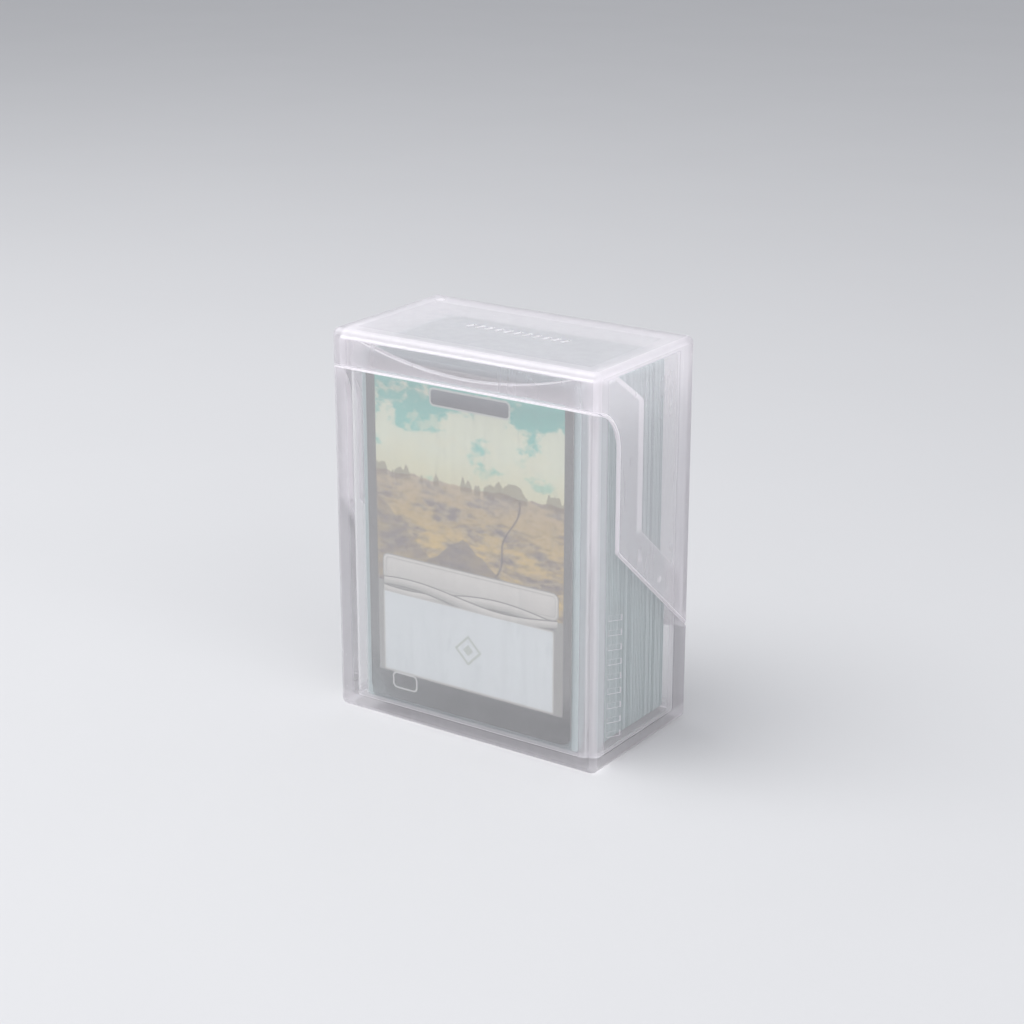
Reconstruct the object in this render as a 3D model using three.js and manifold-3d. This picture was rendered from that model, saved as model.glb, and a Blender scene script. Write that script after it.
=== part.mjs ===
// A card deck box: a frosted box body, a lift-off lid whose edge runs down the sides in a Z,
// and a deck of sleeved cards standing in it. Millimetres, +Z up, the front facing -Y.
// The origin is the middle of the base.

import * as THREE from "three";
import { RoundedBoxGeometry } from "three/addons/geometries/RoundedBoxGeometry.js";
import { mergeVertices } from "three/addons/utils/BufferGeometryUtils.js";
import Module from "manifold-3d";

const wasm = await Module();
wasm.setup();

// Cards and sleeves
const cardWidth = 63.5;
const cardHeight = 93;
const cardThickness = 0.3;
const cardCornerRadius = 3;
const sleeveSideMargin = 1.75; // film beyond the card at each side
const sleeveFootMargin = 1.55; // film below the card
const sleeveTopMargin = 1.55; // film above the card
const sleeveFilm = 0.09;
const sleeveWeld = 0.8; // the welded strip at the sides and the foot of a sleeve
const sleeveCornerRadius = 1.2;
const cardPlay = 0.05; // in front of the card and behind it, inside its sleeve
const sleeveGap = 0.15; // between one sleeve in the deck and the next
const cardsBehind = 49; // sleeved cards standing behind the front one

// The sleeved cards behind the front one stand a little left or right of the middle.
const swayClearance = 0.6; // between the cavity's side and a card that stands furthest off
const swayTurns = [2.2, 0.47]; // radians from one card to the next, of the two sways added up

// Room around the deck
const deckSideRoom = 3;
const deckFrontRoom = 0.35;
const deckBackRoom = 0.8;
const deckHeadroom = 3.4;
const deckFloorGap = 0.3;

// Walls
const lidSkin = 1.9;
const lidTop = 2.2;
const tongueWall = 2; // the thin upper part of the body, inside the lid
const floorThickness = 3;
const outerRadius = 2; // every outside edge
const lidInnerRadius = 0.8;
const tongueRadius = 1.2;
const cavityRadius = 1.5;

// Fits between the lid and the body
const slideGap = 0.35; // between the lid's skin and the tongue
const seatGap = 0.3; // between the lid's lower edge and the body's shoulder
const crownGap = 0.4; // between the tongue's crown and the underside of the lid's top

// The lid's lower edge, seen from the side
const lipHeight = 9.55; // from the top down to the edge at the front
const uprightDepth = 10.1; // from the front face back to the edge's upright stretch
const sweepRadius = 12;
const kneeHeight = 57; // where the upright stretch turns into the slope
const kneeRadius = 2;
const backEdgeHeight = 26.2; // where the slope reaches the back face
const lap = 12.9; // how far the tongue reaches under the lid

// The tongue's crown
const crownDrop = 8.9; // from the crown down to the shoulder at its back
const crownRadius = 2;
const shoulderRadius = 2.5;
const scoopHalfWidth = 33; // the shallow finger scoop in the front wall
const scoopDepth = 5.4;

// Grip nubs on the tongue's sides, in the middle of the slope
const nubDepths = [22.2, 32.1]; // from the front face
const nubRise = 5; // above the lid's edge
const nubRadius = 0.9;
const nubHeight = 0.25;

// Rows of slanted marks sunk into the right side and the lid's top
const markSink = 0.3;
const sideMarks = { count: 9, pitch: 3.95, across: 6.4, bar: 1.5, slant: 1.6 };
const sideMarkRow = { fromFront: 9.2, foot: 8.6 };
const topMarks = { count: 11, pitch: 2.9, across: 2.6, bar: 0.9, slant: 0.8 };
const topMarkRow = { x: 2.5, fromFront: 22 };

// Facets
const roundSteps = 3; // along a quarter round on a block
const arcSteps = 4; // half the steps along a round in a profile
const scoopSteps = 12;
const nubSides = 12;

// Worked out from the sizes above
const sleeveWidth = cardWidth + 2 * sleeveSideMargin;
const sleeveHeight = cardHeight + sleeveFootMargin + sleeveTopMargin;
const sleeveThickness = cardThickness + 2 * (cardPlay + sleeveFilm);
const sleevePitch = sleeveThickness + sleeveGap;
const deckDepth = cardsBehind * sleevePitch + sleeveThickness;
const wall = lidSkin + slideGap + tongueWall;
const cavityWidth = sleeveWidth + 2 * deckSideRoom;
const deckSway = deckSideRoom - swayClearance; // the furthest that a card stands off the middle
const cavityDepth = deckDepth + deckFrontRoom + deckBackRoom;
const boxWidth = cavityWidth + 2 * wall;
const boxDepth = cavityDepth + 2 * wall;
const deckFoot = floorThickness + deckFloorGap;
const lidCeiling = deckFoot + sleeveHeight + deckHeadroom;
const boxHeight = lidCeiling + lidTop;
const crownHeight = lidCeiling - crownGap;
const frontFace = -boxDepth / 2;
const deckFront = frontFace + wall + deckFrontRoom;
const edgeSlope = (backEdgeHeight - kneeHeight) / (boxDepth - uprightDepth);
const beyond = sweepRadius + outerRadius; // how far a cutting block runs past the box

const frosted = new THREE.MeshStandardMaterial({
  color: 0xc6c3c9,
  roughness: 0.35,
  metalness: 0,
  transparent: true,
  opacity: 0.55,
});
const film = new THREE.MeshStandardMaterial({
  color: 0xcfe0df,
  roughness: 0.2,
  metalness: 0,
  transparent: true,
  opacity: 0.3,
});
const printedCard = new THREE.MeshStandardMaterial({
  color: 0x9aa58c,
  roughness: 0.5,
  metalness: 0,
});
const sleevedCard = new THREE.MeshStandardMaterial({
  color: 0xb4c6c6,
  roughness: 0.4,
  metalness: 0,
});

// A closed geometry as a solid that can be cut and joined.
function solidOf(geometry) {
  const plain = geometry.clone();
  plain.deleteAttribute("normal");
  plain.deleteAttribute("uv");
  const merged = mergeVertices(plain);
  const mesh = new wasm.Mesh({
    numProp: 3,
    vertProperties: merged.attributes.position.array,
    triVerts: new Uint32Array(merged.index.array),
  });
  return new wasm.Manifold(mesh);
}

// A solid as a flat-shaded geometry.
function geometryOf(solid) {
  const { vertProperties, triVerts } = solid.getMesh();
  const indexed = new THREE.BufferGeometry();
  indexed.setAttribute("position", new THREE.BufferAttribute(vertProperties, 3));
  indexed.setIndex(new THREE.BufferAttribute(triVerts, 1));
  const flat = indexed.toNonIndexed();
  flat.computeVertexNormals();
  return flat;
}

// A round-edged block, centred on the Z axis, from one height up to another.
function block(width, depth, bottom, top, radius) {
  const geometry = new RoundedBoxGeometry(width, depth, top - bottom, roundSteps, radius);
  geometry.translate(0, 0, (bottom + top) / 2);
  return solidOf(geometry);
}

function roundedRectangle(width, height, radius) {
  const x = width / 2 - radius;
  const y = height / 2 - radius;
  const quarter = Math.PI / 2;
  const shape = new THREE.Shape();
  shape.absarc(x, -y, radius, -quarter, 0, false);
  shape.absarc(x, y, radius, 0, quarter, false);
  shape.absarc(-x, y, radius, quarter, 2 * quarter, false);
  shape.absarc(-x, -y, radius, 2 * quarter, 3 * quarter, false);
  return shape;
}

// An outline of (depth from the front face, height) pushed along X from one place to another.
function sidePrism(shape, fromX, toX) {
  const geometry = new THREE.ExtrudeGeometry(shape, {
    depth: toX - fromX,
    bevelEnabled: false,
  });
  const alongX = new THREE.Matrix4().makeBasis(
    new THREE.Vector3(0, 1, 0),
    new THREE.Vector3(0, 0, 1),
    new THREE.Vector3(1, 0, 0),
  );
  geometry.applyMatrix4(alongX);
  geometry.translate(fromX, frontFace, 0);
  return solidOf(geometry);
}

// Points along straight stretches between corners [depth, height, radius], rounded at each
// corner that has a radius.
function roundedLine(corners) {
  const path = new THREE.Path();
  corners.forEach(([depth, height, radius], i) => {
    if (i === 0) {
      path.moveTo(depth, height);
      return;
    }
    if (!radius) {
      path.lineTo(depth, height);
      return;
    }
    const corner = new THREE.Vector2(depth, height);
    const back = new THREE.Vector2(...corners[i - 1]).sub(corner).normalize();
    const on = new THREE.Vector2(...corners[i + 1]).sub(corner).normalize();
    const half = back.angleTo(on) / 2;
    const towards = back.clone().add(on).normalize();
    const centre = corner.clone().addScaledVector(towards, radius / Math.sin(half));
    const start = corner.clone().addScaledVector(back, radius / Math.tan(half)).sub(centre);
    const end = corner.clone().addScaledVector(on, radius / Math.tan(half)).sub(centre);
    path.lineTo(centre.x + start.x, centre.y + start.y);
    path.absarc(centre.x, centre.y, radius, start.angle(), end.angle(), start.cross(end) < 0);
  });
  return path.getPoints(arcSteps);
}

// The lid's lower edge from the front to the back, and how high it is at a depth on the slope.
const edgeLine = roundedLine([
  [-beyond, boxHeight - lipHeight],
  [uprightDepth, boxHeight - lipHeight, sweepRadius],
  [uprightDepth, kneeHeight, kneeRadius],
  [boxDepth + beyond, backEdgeHeight + edgeSlope * beyond],
]);
const edgeHeightAt = (depth) => kneeHeight + edgeSlope * (depth - uprightDepth);

// The tongue's upper edge, which keeps the lap inside the lid's edge.
const tongueStep = uprightDepth + lap;
const tongueLine = roundedLine([
  [-beyond, crownHeight],
  [uprightDepth, crownHeight, crownRadius],
  [tongueStep, crownHeight - crownDrop, shoulderRadius],
  [tongueStep, edgeHeightAt(tongueStep) + lap, kneeRadius],
  [boxDepth + beyond, edgeHeightAt(boxDepth + beyond) + lap],
]);

// Everything below a line, as a block wider than the box.
function below(line) {
  const first = line[0];
  const last = line[line.length - 1];
  const floor = [new THREE.Vector2(last.x, -beyond), new THREE.Vector2(first.x, -beyond)];
  return sidePrism(new THREE.Shape([...line, ...floor]), -boxWidth, boxWidth);
}

// The shallow arc cut out of the front wall's upper edge.
function scoop() {
  const radius = (scoopHalfWidth ** 2 + scoopDepth ** 2) / (2 * scoopDepth);
  const halfAngle = Math.asin(scoopHalfWidth / radius);
  const shape = new THREE.Shape();
  shape.moveTo(-scoopHalfWidth, crownHeight + beyond);
  const middle = crownHeight - scoopDepth + radius;
  const down = -Math.PI / 2;
  shape.absarc(0, middle, radius, down - halfAngle, down + halfAngle, false);
  shape.lineTo(scoopHalfWidth, crownHeight + beyond);
  const geometry = new THREE.ExtrudeGeometry(shape, {
    depth: wall + beyond,
    bevelEnabled: false,
    curveSegments: scoopSteps,
  });
  const alongDepth = new THREE.Matrix4().makeBasis(
    new THREE.Vector3(1, 0, 0),
    new THREE.Vector3(0, 0, 1),
    new THREE.Vector3(0, -1, 0),
  );
  geometry.applyMatrix4(alongDepth);
  geometry.translate(0, frontFace + wall + deckFrontRoom, 0);
  return solidOf(geometry);
}

// A low round nub whose base is sunk into a tongue side; side is 1 on the right, -1 on the left.
function nub(side, depth) {
  const sink = tongueWall / 2;
  const geometry = new THREE.CylinderGeometry(
    nubRadius / 2,
    nubRadius,
    nubHeight + sink,
    nubSides,
  );
  geometry.rotateZ((-side * Math.PI) / 2);
  const face = boxWidth / 2 - lidSkin - slideGap;
  const x = side * (face + (nubHeight - sink) / 2);
  geometry.translate(x, frontFace + depth, edgeHeightAt(depth) + nubRise);
  return solidOf(geometry);
}

// The outlines of a row of slanted bars along X, centred on the origin.
function markOutlines({ count, pitch, across, bar, slant }) {
  return Array.from({ length: count }, (unused, i) => {
    const middle = (i - (count - 1) / 2) * pitch;
    return new THREE.Shape([
      new THREE.Vector2(middle - slant / 2 - bar / 2, -across / 2),
      new THREE.Vector2(middle - slant / 2 + bar / 2, -across / 2),
      new THREE.Vector2(middle + slant / 2 + bar / 2, across / 2),
      new THREE.Vector2(middle + slant / 2 - bar / 2, across / 2),
    ]);
  });
}

function markGeometry(marks) {
  return new THREE.ExtrudeGeometry(markOutlines(marks), {
    depth: 2 * markSink,
    bevelEnabled: false,
  });
}

// The marks stand up the right side in one row, as a cutting solid.
function sideMarkCut() {
  const geometry = markGeometry(sideMarks);
  const upTheSide = new THREE.Matrix4().makeBasis(
    new THREE.Vector3(0, 0, 1),
    new THREE.Vector3(0, -1, 0),
    new THREE.Vector3(1, 0, 0),
  );
  geometry.applyMatrix4(upTheSide);
  const rowMiddle = sideMarkRow.foot + ((sideMarks.count - 1) / 2) * sideMarks.pitch;
  geometry.translate(boxWidth / 2 - markSink, frontFace + sideMarkRow.fromFront, rowMiddle);
  return solidOf(geometry);
}

function topMarkCut() {
  const geometry = markGeometry(topMarks);
  geometry.translate(topMarkRow.x, frontFace + topMarkRow.fromFront, boxHeight - markSink);
  return solidOf(geometry);
}

function boxBody() {
  const tongueInset = lidSkin + slideGap;
  const seatLine = edgeLine.map((p) => new THREE.Vector2(p.x - seatGap, p.y - seatGap));
  const outside = block(boxWidth, boxDepth, 0, boxHeight, outerRadius);
  const tongue = block(
    boxWidth - 2 * tongueInset,
    boxDepth - 2 * tongueInset,
    floorThickness / 4,
    boxHeight + beyond,
    tongueRadius,
  );
  const cavity = new THREE.ExtrudeGeometry(
    roundedRectangle(cavityWidth, cavityDepth, cavityRadius),
    { depth: boxHeight + beyond, bevelEnabled: false, curveSegments: roundSteps },
  );
  cavity.translate(0, 0, floorThickness);
  let body = outside.intersect(below(seatLine));
  body = body.add(tongue.intersect(below(tongueLine)));
  body = body.subtract(solidOf(cavity)).subtract(scoop()).subtract(sideMarkCut());
  for (const side of [-1, 1]) {
    for (const depth of nubDepths) body = body.add(nub(side, depth));
  }
  return body;
}

function lidShell() {
  const outside = block(boxWidth, boxDepth, 0, boxHeight, outerRadius);
  const inside = block(
    boxWidth - 2 * lidSkin,
    boxDepth - 2 * lidSkin,
    -beyond,
    lidCeiling,
    lidInnerRadius,
  );
  return outside.subtract(below(edgeLine)).subtract(inside).subtract(topMarkCut());
}

// A thin upright sheet with round corners: its front face at y = 0, its foot at z = 0.
function sheet(width, height, thickness, radius) {
  const geometry = new THREE.ExtrudeGeometry(roundedRectangle(width, height, radius), {
    depth: thickness,
    bevelEnabled: false,
    curveSegments: roundSteps,
  });
  geometry.rotateX(Math.PI / 2);
  geometry.translate(0, thickness, height / 2);
  return geometry;
}

// The front sleeve is a flat pouch, open at the top.
function sleevePouch() {
  const outside = solidOf(
    sheet(sleeveWidth, sleeveHeight, sleeveThickness, sleeveCornerRadius),
  );
  const slot = sheet(
    sleeveWidth - 2 * sleeveWeld,
    sleeveHeight,
    sleeveThickness - 2 * sleeveFilm,
    sleeveWeld / 2,
  );
  slot.translate(0, sleeveFilm, sleeveWeld);
  return outside.subtract(solidOf(slot));
}

function named(name, geometry, material) {
  const mesh = new THREE.Mesh(geometry, material);
  mesh.name = name;
  return mesh;
}

// How far the sleeved card of this number stands off the middle.
function swayOf(i) {
  const sum = swayTurns.reduce((total, turn) => total + Math.sin(turn * i), 0);
  return (deckSway * sum) / swayTurns.length;
}

function deck() {
  const group = new THREE.Group();
  group.position.set(0, deckFront, deckFoot);

  const sleeve = named("front_sleeve", geometryOf(sleevePouch()), film);
  const cardShape = sheet(cardWidth, cardHeight, cardThickness, cardCornerRadius);
  const card = named("front_card", cardShape, printedCard);
  card.position.set(0, sleeveFilm + cardPlay, sleeveFootMargin);
  group.add(sleeve, card);

  const pack = sheet(sleeveWidth, sleeveHeight, sleeveThickness, sleeveCornerRadius);
  for (let i = 1; i <= cardsBehind; i += 1) {
    const number = String(i).padStart(2, "0");
    const packed = named(`sleeved_card_${number}`, pack, sleevedCard);
    packed.position.set(swayOf(i), i * sleevePitch, 0);
    group.add(packed);
  }
  return group;
}

const deckBox = new THREE.Group();
deckBox.add(named("box_body", geometryOf(boxBody()), frosted));
deckBox.add(named("lid", geometryOf(lidShell()), frosted));
deckBox.add(deck());

export default deckBox;
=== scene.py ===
import math
import random

import bmesh
import bpy
from bpy.props import FloatProperty, FloatVectorProperty, IntProperty, PointerProperty
from mathutils import Euler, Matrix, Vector


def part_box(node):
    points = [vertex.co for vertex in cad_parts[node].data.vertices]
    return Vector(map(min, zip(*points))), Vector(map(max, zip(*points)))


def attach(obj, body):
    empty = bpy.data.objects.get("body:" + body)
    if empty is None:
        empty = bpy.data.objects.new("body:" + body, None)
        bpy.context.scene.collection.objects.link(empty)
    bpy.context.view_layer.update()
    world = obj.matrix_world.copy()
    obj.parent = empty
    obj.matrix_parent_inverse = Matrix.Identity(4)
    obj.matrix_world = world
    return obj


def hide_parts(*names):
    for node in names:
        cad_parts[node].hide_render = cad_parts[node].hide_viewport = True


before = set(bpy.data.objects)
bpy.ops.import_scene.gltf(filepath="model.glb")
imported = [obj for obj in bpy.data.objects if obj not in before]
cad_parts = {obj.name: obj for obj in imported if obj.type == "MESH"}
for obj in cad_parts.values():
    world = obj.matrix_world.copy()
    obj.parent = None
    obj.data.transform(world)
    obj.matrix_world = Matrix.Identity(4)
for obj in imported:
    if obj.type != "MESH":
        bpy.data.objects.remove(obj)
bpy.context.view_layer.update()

bl_info = {
    "name": "Frosted Deck Box",
    "version": (1, 0, 0),
    "blender": (4, 5, 0),
    "location": "View3D > Sidebar > Deck Box",
    "description": "A frosted deck box with a lift-off lid, holding a deck of sleeved cards",
    "category": "Add Mesh",
}

MM = 0.001

# Where the mouldings, the front card and its sleeve are.
lid_low, lid_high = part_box("lid")
body_low, body_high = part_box("box_body")
card_low, card_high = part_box("front_card")
sleeve_low, sleeve_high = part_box("front_sleeve")
BOX_WIDTH = body_high.x - body_low.x
BOX_DEPTH = body_high.y - body_low.y
BOX_HEIGHT = lid_high.z
CROWN_HEIGHT = body_high.z
FRONT_FACE = body_low.y
CARD_HALF_WIDTH = (card_high.x - card_low.x) / 2
DECK_NODES = sorted(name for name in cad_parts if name.startswith("sleeved_card_"))

BEYOND = 14 * MM  # how far a cutting block runs past the box
ROUND_SEGMENTS = 8  # along a quarter round on a block
ARC_STEPS = 10  # along a round in a profile
SCOOP_STEPS = 40  # along the finger scoop
NUB_SIDES = 28  # round a grip nub or the gate mark
DOME_STEPS = 5  # from a dome's rim to its top
BREAK_SEGMENTS = 3  # across the small round on a cut edge
BREAK_ANGLE = math.radians(40)  # the turn from which a cut edge is rounded
SAME_PLANE = math.radians(0.5)  # the turn up to which two faces are one
CREASE = math.radians(55)  # the turn from which a moulding's shading is crisp
SLEEVE_CREASE = math.radians(40)  # the same, on a sleeve
SAME_PLACE = 0.01 * MM  # the distance up to which two corners are one
FLAT = 0.995  # the largest part of a face's normal, below which the face belongs to a round

# The places of a moulding's finishes in its list of materials.
WALLS, EDGES, ROUNDS, TONGUE = 0, 1, 2, 3

# Rows of slanted marks, along their row and across it.
SIDE_MARKS = {"count": 9, "pitch": 3.95 * MM, "across": 6.4 * MM, "bar": 1.5 * MM, "slant": 1.6 * MM}
SIDE_MARK_ROW = {"from_front": 9.2 * MM, "foot": 8.6 * MM}
TOP_MARKS = {"count": 11, "pitch": 2.9 * MM, "across": 2.6 * MM, "bar": 0.9 * MM, "slant": 0.8 * MM}
TOP_MARK_ROW = {"x": 2.5 * MM, "from_front": 22 * MM}
GATE_PLACE = {"x": -35 * MM, "from_front": 40 * MM}
NUB_DEPTHS = (22.2 * MM, 32.1 * MM)  # from the front face

# How the sleeves' edges wave through the deck: the turn from one sleeve to the next, where the
# left edge, the right edge and the mouth start, and the share of it that the mouth takes.
WAVE_TURN = 0.9
WAVE_STARTS = (0.3, 2.1, 4.0)
MOUTH_SHARE = 0.3

# Plates on the cards' faces in millimetres: left, right, bottom, top and the round of their corners.
PICTURE = (-28.9, 29.3, 38.0, 94.9, 0.6)
LOWER_PLATE = (-28.9, 29.3, 12.4, 40, 0.6)
TITLE_PLATE = (-11.1, 12.7, 88.7, 92.6, 0.9)
BAR = (-27.0, 27.6, 38.4, 45.4, 1.6)
BLANK_BOX = (-26.9, 26.2, 13.1, 35.0, 0.3)
NUMBER_TAB = (-24.2, -17.0, 8.4, 12.2, 1.0)
LATTICE_PLATE = (-28.5, 28.5, 8.1, 94.6, 1.5)
LATTICE_PITCH = 5.5
CARD_PLATE = (-31.75, 31.75, 4.85, 97.85, 3.0)

# How much a ray of light bends in the moulded plastic and in a sleeve's film.
PLASTIC_INDEX = 1.49
FILM_INDEX = 1.45

# The stage, in metres.
FLOOR_REACH = 8.0
KEY_LAMP = {"size": 0.9, "place": (-0.45, -0.35, 1.05)}
FILL_LAMP = {"size": 0.8, "place": (0.95, -0.35, 0.55)}


def length(name, description, millimetres):
    """A length that the panel shows, given in millimetres."""
    return FloatProperty(
        name=name, description=description, default=millimetres * MM, min=0, unit="LENGTH", precision=5
    )


def share(name, description, default):
    """A number from 0 to 1 that the panel shows."""
    return FloatProperty(
        name=name, description=description, default=default, min=0, max=1, subtype="FACTOR"
    )


def tint(name, description, default):
    """A colour that the panel shows, in linear red, green and blue."""
    return FloatVectorProperty(
        name=name, description=description, default=default, size=3, min=0, max=1, subtype="COLOR"
    )


class WallSizes(bpy.types.PropertyGroup):
    """Thicknesses, gaps and rounds of the two mouldings"""

    lid_skin: length("Lid skin", "Thickness of the lid's walls", 1.9)
    lid_top: length("Lid top", "Thickness of the lid's top", 2.2)
    tongue_wall: length("Tongue wall", "Thickness of the body's thin upper part", 2.0)
    floor: length("Floor", "Thickness of the body's floor", 3.0)
    slide_gap: length("Slide gap", "Gap between the lid's skin and the tongue", 0.35)
    seat_gap: length("Seat gap", "Gap between the lid's edge and the body's shoulder", 0.3)
    outer_radius: length("Outer radius", "Round on every outside edge", 2.0)
    lid_inner_radius: length("Lid inner radius", "Round on the edges inside the lid", 0.8)
    tongue_radius: length("Tongue radius", "Round on the tongue's upright edges", 1.2)
    cavity_radius: length("Cavity radius", "Round on the upright edges of the card space", 1.5)
    edge_break: length("Edge break", "Small round on the cut edges", 0.28)


class EdgeSizes(bpy.types.PropertyGroup):
    """The lid's stepped edge, the tongue's edge and the small moulded details"""

    lip: length("Lip", "From the top down to the lid's front edge", 9.55)
    upright_depth: length("Upright depth", "From the front face to the edge's upright stretch", 10.1)
    sweep_radius: length("Sweep radius", "Round where the front edge turns down", 12.0)
    knee_height: length("Knee height", "Height where the upright stretch turns into the slope", 57.0)
    knee_radius: length("Knee radius", "Round at the knee", 2.0)
    back_height: length("Back height", "Height where the slope reaches the back face", 26.2)
    lap: length("Lap", "How far the tongue reaches under the lid", 12.9)
    crown_drop: length("Crown drop", "From the crown down to the shoulder at its back", 8.9)
    crown_radius: length("Crown radius", "Round at the crown's back end", 2.0)
    shoulder_radius: length("Shoulder radius", "Round at the shoulder", 2.5)
    scoop_half_width: length("Scoop half width", "Half the width of the finger scoop", 33.0)
    scoop_depth: length("Scoop depth", "Depth of the finger scoop", 5.4)
    nub_rise: length("Nub rise", "Height of the grip nubs above the lid's edge", 5.0)
    nub_radius: length("Nub radius", "Radius of a grip nub", 0.9)
    nub_height: length("Nub height", "How far a grip nub stands out", 0.32)
    mark_sink: length("Mark sink", "Depth of the slanted marks", 0.3)
    gate_radius: length("Gate radius", "Radius of the round moulding mark on the lid's top", 1.3)
    gate_sink: length("Gate sink", "Depth of the round moulding mark", 0.2)


class SleeveSizes(bpy.types.PropertyGroup):
    """Sleeves and cards"""

    film: length("Film", "Thickness of one film", 0.09)
    weld: length("Weld", "Width of the welded strip at the sides and the foot", 0.8)
    corner_radius: length("Corner radius", "Round at a sleeve's corners", 1.2)
    card_corner_radius: length("Card corner radius", "Round at a card's corners", 3.0)
    wander: length("Wander", "How far a sleeve's edges lean towards their neighbours", 0.2)
    seed: IntProperty(name="Seed", description="Which way each sleeve's edges lean", default=7)


class FrostLooks(bpy.types.PropertyGroup):
    """The frosted plastic"""

    milk: tint("Milk", "Colour of the frosted plastic", (0.81, 0.785, 0.82))
    body_veil: share("Body veil", "How much of the body's surface is milky", 0.15)
    tongue_veil: share("Tongue veil", "How much of the tongue's outer surface is milky", 0.34)
    lid_veil: share("Lid veil", "How much of the lid's surface is milky", 0.28)
    rim_veil: share("Rim veil", "How milky the corners and the base are", 0.42)
    base_veil: share("Base veil", "How much milkier the base is than the corners", 0.1)
    round_veil: share("Round veil", "How milky the outside rounds are", 0.55)
    # Painted glow: the edges' emission stands in for the light that the plastic leads to them.
    edge_glow: share("Edge glow", "How much light the edges give off that the plastic leads to them", 0.16)
    edge_veil: share("Edge veil", "How milky the small rounds on the edges are", 0.85)
    cloudiness: share("Cloudiness", "How much the veil varies", 0.06)
    streaks: share("Streaks", "How much the veil varies in upright streaks", 0.02)
    blur: share("Blur", "Roughness of what is seen through the plastic", 0.03)
    gloss: share("Gloss", "Roughness of what the plastic mirrors", 0.26)
    passes: share("Passes", "How much lamp light one surface lets through", 0.985)


class CardLooks(bpy.types.PropertyGroup):
    """The front card's printed face"""

    border: tint("Border", "Colour of the card's border", (0.32, 0.305, 0.295))
    sky: tint("Sky", "Colour of the clear sky", (0.32, 0.68, 0.60))
    cloud: tint("Cloud", "Colour of the clouds", (0.95, 0.96, 0.78))
    plain: tint("Plain", "Colour of the open ground", (0.66, 0.48, 0.23))
    shade: tint("Shade", "Colour of the ground in shade", (0.30, 0.25, 0.24))
    plate: tint("Plate", "Colour of the plates", (0.93, 0.88, 0.83))
    box: tint("Box", "Colour of the blank box", (0.97, 0.99, 1.0))


class DeckLooks(bpy.types.PropertyGroup):
    """The sleeved deck"""

    film: tint("Film", "Colour of a sleeve's film", (0.80, 0.90, 0.90))
    # Painted shade: the dark colour of the gaps between the sleeves, laid on the sleeves' film.
    deep: tint("Deep", "Colour between the sleeves", (0.33, 0.42, 0.43))
    card_back: tint("Card back", "Colour of a card's back", (0.13, 0.20, 0.25))


class StageLooks(bpy.types.PropertyGroup):
    """The floor, the light and the camera"""

    floor: tint("Floor", "Colour of the floor", (0.60, 0.60, 0.61))
    world: tint("Surroundings", "Colour of the light from all around", (0.93, 0.95, 1.0))
    world_strength: FloatProperty(
        name="Surroundings strength", description="Light from all around", default=0.64, min=0
    )
    key_power: FloatProperty(
        name="Key power", description="Power of the large lamp", default=11.0, min=0, unit="POWER"
    )
    fill_power: FloatProperty(
        name="Fill power", description="Power of the fill lamp", default=4.5, min=0, unit="POWER"
    )
    target_height: length("Target height", "Height that the camera looks at", 56.3)
    distance: length("Distance", "From the camera to what it looks at", 589.5)
    azimuth: FloatProperty(
        name="Azimuth",
        description="Camera's turn round the box",
        default=math.radians(34.44),
        unit="ROTATION",
    )
    elevation: FloatProperty(
        name="Elevation", description="Camera's rise", default=math.radians(18.91), unit="ROTATION"
    )
    lens: FloatProperty(
        name="Lens", description="Focal length", default=79.3, min=1, unit="CAMERA"
    )


# Meshes


def linked(name, bm):
    """A mesh object made from bm, in the scene."""
    bmesh.ops.recalc_face_normals(bm, faces=bm.faces)
    mesh = bpy.data.meshes.new(name)
    bm.to_mesh(mesh)
    bm.free()
    piece = bpy.data.objects.new(name, mesh)
    bpy.context.scene.collection.objects.link(piece)
    return piece


def block(name, width, depth, bottom, top, radius, finishes=()):
    """A round-edged block centred on the Z axis, from one height up to another."""
    bm = bmesh.new()
    bmesh.ops.create_cube(bm, size=1)
    bmesh.ops.scale(bm, vec=(width, depth, top - bottom), verts=bm.verts)
    bmesh.ops.translate(bm, vec=(0, 0, (bottom + top) / 2), verts=bm.verts)
    bmesh.ops.bevel(
        bm, geom=bm.edges[:], offset=radius, segments=ROUND_SEGMENTS, profile=0.5, affect="EDGES"
    )
    piece = linked(name, bm)
    for finish in finishes:
        piece.data.materials.append(finish)
    return piece


def prism(name, outlines, place, start, end):
    """Outlines of (u, v) pushed from start to end along w; place turns u, v and w into a point."""
    bm = bmesh.new()
    for outline in outlines:
        ends = [[bm.verts.new(place(u, v, w)) for u, v in outline] for w in (start, end)]
        for ring in ends:
            bm.faces.new(ring)
        for i in range(len(outline)):
            bm.faces.new((ends[0][i - 1], ends[0][i], ends[1][i], ends[1][i - 1]))
    return linked(name, bm)


def across_box(depth, height, x):
    """A point from its depth behind the front face, its height and x."""
    return Vector((x, FRONT_FACE + depth, height))


def upright(x, y, z):
    """A point from x, y and z, for an outline seen from above."""
    return Vector((x, y, z))


def rounded_rectangle(width, height, radius):
    """The outline of a rectangle with round corners, centred on (0, 0)."""
    outline = []
    for corner, (side, end) in enumerate(((1, -1), (1, 1), (-1, 1), (-1, -1))):
        for step in range(ROUND_SEGMENTS + 1):
            angle = math.pi / 2 * (corner - 1 + step / ROUND_SEGMENTS)
            x = side * (width / 2 - radius) + radius * math.cos(angle)
            y = end * (height / 2 - radius) + radius * math.sin(angle)
            outline.append((x, y))
    return outline


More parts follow.
